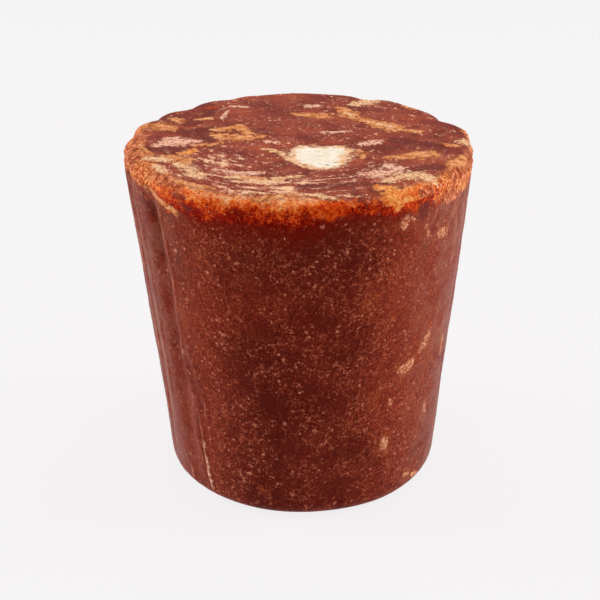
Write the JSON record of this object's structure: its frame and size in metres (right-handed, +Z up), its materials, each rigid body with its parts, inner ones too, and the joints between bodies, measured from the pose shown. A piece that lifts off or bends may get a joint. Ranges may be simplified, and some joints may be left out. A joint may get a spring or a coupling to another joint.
{
  "type": "jaggery block",
  "caption": "Bucket-shaped block of jaggery, solid cane sugar cast in a tapered mould, with a rough crystalline lip; broken up for cooking and sweetening.",
  "frame": {"origin": "on the floor under the middle of the block's bounding box", "axes": "+Z up through the block, from its narrow foot to its wide face; -Y towards the front"},
  "size_m": [0.1024, 0.1024, 0.1044],
  "materials": {
    "jaggery": "dense reddish brown cane sugar, waxy and speckled with pale crystals"
  },
  "bodies": {
    "root": {"jaggery_block": "jaggery"}
  },
  "joints": []
}
